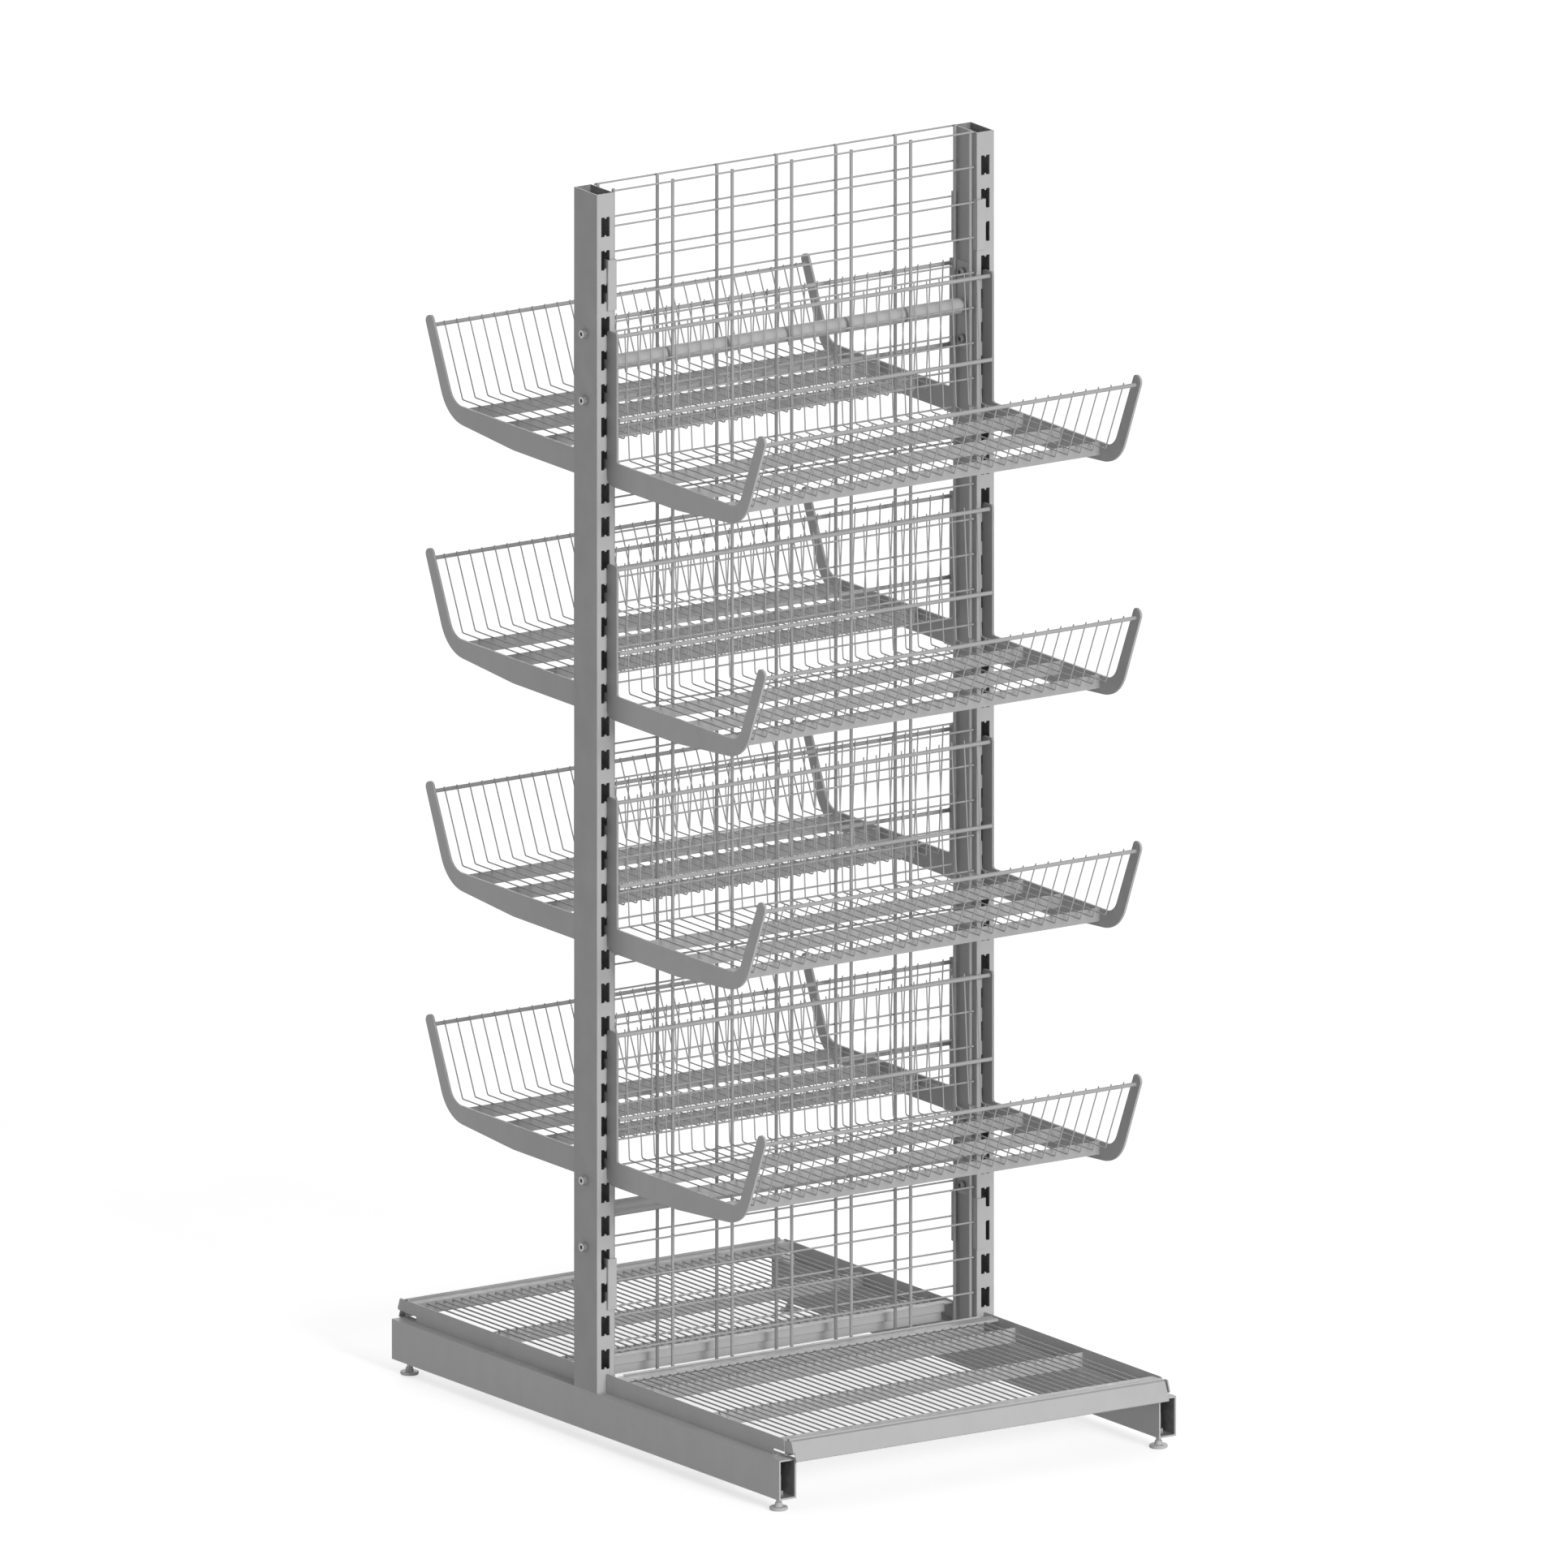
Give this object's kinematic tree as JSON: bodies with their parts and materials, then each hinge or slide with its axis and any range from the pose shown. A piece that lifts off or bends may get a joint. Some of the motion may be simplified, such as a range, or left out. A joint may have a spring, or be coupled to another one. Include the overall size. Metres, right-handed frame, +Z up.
{
  "type": "double-sided wire basket gondola",
  "caption": "Free-standing double-sided shop gondola: slotted posts on floor beams, mesh back panels, hook-on wire baskets and wire base shelves.",
  "frame": {"origin": "on the floor, in the middle of the base", "axes": "+X to the right, +Y to the rear side, +Z up"},
  "size_m": [0.711, 1.0416, 1.883],
  "materials": {
    "grey_paint": "satin powder coat",
    "zinc": "zinc plated",
    "foot_plastic": "moulded nylon"
  },
  "bodies": {
    "uprights_and_base": {"left_upright": "grey_paint", "right_upright": "grey_paint", "left_base_beam": "grey_paint", "right_base_beam": "grey_paint", "upper_cross_tube": "grey_paint", "lower_cross_tube": "grey_paint", "cross_tube_screws": "zinc", "cross_tube_nuts": "zinc", "foot_nuts": "zinc"},
    "front_left_foot": {"front_left_foot_pad": "foot_plastic", "front_left_foot_stem": "zinc"},
    "front_right_foot": {"front_right_foot_pad": "foot_plastic", "front_right_foot_stem": "zinc"},
    "rear_left_foot": {"rear_left_foot_pad": "foot_plastic", "rear_left_foot_stem": "zinc"},
    "rear_right_foot": {"rear_right_foot_pad": "foot_plastic", "rear_right_foot_stem": "zinc"},
    "front_back_panel": {"front_mesh_panel": "grey_paint", "front_panel_hooks": "grey_paint"},
    "front_base_shelf": {"front_base_shelf_frame": "grey_paint", "front_base_shelf_wires": "grey_paint", "front_base_shelf_fascia": "grey_paint"},
    "front_basket_1": {"front_basket_1_left_cheek": "grey_paint", "front_basket_1_right_cheek": "grey_paint", "front_basket_1_wires": "grey_paint", "front_basket_1_rails": "grey_paint"},
    "front_basket_2": {"front_basket_2_left_cheek": "grey_paint", "front_basket_2_right_cheek": "grey_paint", "front_basket_2_wires": "grey_paint", "front_basket_2_rails": "grey_paint"},
    "front_basket_3": {"front_basket_3_left_cheek": "grey_paint", "front_basket_3_right_cheek": "grey_paint", "front_basket_3_wires": "grey_paint", "front_basket_3_rails": "grey_paint"},
    "front_basket_4": {"front_basket_4_left_cheek": "grey_paint", "front_basket_4_right_cheek": "grey_paint", "front_basket_4_wires": "grey_paint", "front_basket_4_rails": "grey_paint"},
    "rear_back_panel": {"rear_mesh_panel": "grey_paint", "rear_panel_hooks": "grey_paint"},
    "rear_base_shelf": {"rear_base_shelf_frame": "grey_paint", "rear_base_shelf_wires": "grey_paint", "rear_base_shelf_fascia": "grey_paint"},
    "rear_basket_1": {"rear_basket_1_left_cheek": "grey_paint", "rear_basket_1_right_cheek": "grey_paint", "rear_basket_1_wires": "grey_paint", "rear_basket_1_rails": "grey_paint"},
    "rear_basket_2": {"rear_basket_2_left_cheek": "grey_paint", "rear_basket_2_right_cheek": "grey_paint", "rear_basket_2_wires": "grey_paint", "rear_basket_2_rails": "grey_paint"},
    "rear_basket_3": {"rear_basket_3_left_cheek": "grey_paint", "rear_basket_3_right_cheek": "grey_paint", "rear_basket_3_wires": "grey_paint", "rear_basket_3_rails": "grey_paint"},
    "rear_basket_4": {"rear_basket_4_left_cheek": "grey_paint", "rear_basket_4_right_cheek": "grey_paint", "rear_basket_4_wires": "grey_paint", "rear_basket_4_rails": "grey_paint"}
  },
  "joints": [
    {"name": "front_left_foot_level", "type": "slide", "parent": "uprights_and_base", "child": "front_left_foot", "axis": [0, 0, 1], "range_m": [-0.012, 0.008]},
    {"name": "front_right_foot_level", "type": "slide", "parent": "uprights_and_base", "child": "front_right_foot", "axis": [0, 0, 1], "range_m": [-0.012, 0.008]},
    {"name": "rear_left_foot_level", "type": "slide", "parent": "uprights_and_base", "child": "rear_left_foot", "axis": [0, 0, 1], "range_m": [-0.012, 0.008]},
    {"name": "rear_right_foot_level", "type": "slide", "parent": "uprights_and_base", "child": "rear_right_foot", "axis": [0, 0, 1], "range_m": [-0.012, 0.008]},
    {"name": "front_back_panel_lift", "type": "slide", "parent": "uprights_and_base", "child": "front_back_panel", "axis": [0, 0, 1], "range_m": [0, 0.012]},
    {"name": "front_base_shelf_lift", "type": "slide", "parent": "uprights_and_base", "child": "front_base_shelf", "axis": [0, 0, 1], "range_m": [0, 0.04]},
    {"name": "front_basket_1_lift", "type": "slide", "parent": "uprights_and_base", "child": "front_basket_1", "axis": [0, 0, 1], "range_m": [0, 0.012]},
    {"name": "front_basket_2_lift", "type": "slide", "parent": "uprights_and_base", "child": "front_basket_2", "axis": [0, 0, 1], "range_m": [0, 0.012]},
    {"name": "front_basket_3_lift", "type": "slide", "parent": "uprights_and_base", "child": "front_basket_3", "axis": [0, 0, 1], "range_m": [0, 0.012]},
    {"name": "front_basket_4_lift", "type": "slide", "parent": "uprights_and_base", "child": "front_basket_4", "axis": [0, 0, 1], "range_m": [0, 0.012]},
    {"name": "rear_back_panel_lift", "type": "slide", "parent": "uprights_and_base", "child": "rear_back_panel", "axis": [0, 0, 1], "range_m": [0, 0.012]},
    {"name": "rear_base_shelf_lift", "type": "slide", "parent": "uprights_and_base", "child": "rear_base_shelf", "axis": [0, 0, 1], "range_m": [0, 0.04]},
    {"name": "rear_basket_1_lift", "type": "slide", "parent": "uprights_and_base", "child": "rear_basket_1", "axis": [0, 0, 1], "range_m": [0, 0.012]},
    {"name": "rear_basket_2_lift", "type": "slide", "parent": "uprights_and_base", "child": "rear_basket_2", "axis": [0, 0, 1], "range_m": [0, 0.012]},
    {"name": "rear_basket_3_lift", "type": "slide", "parent": "uprights_and_base", "child": "rear_basket_3", "axis": [0, 0, 1], "range_m": [0, 0.012]},
    {"name": "rear_basket_4_lift", "type": "slide", "parent": "uprights_and_base", "child": "rear_basket_4", "axis": [0, 0, 1], "range_m": [0, 0.012]}
  ]
}
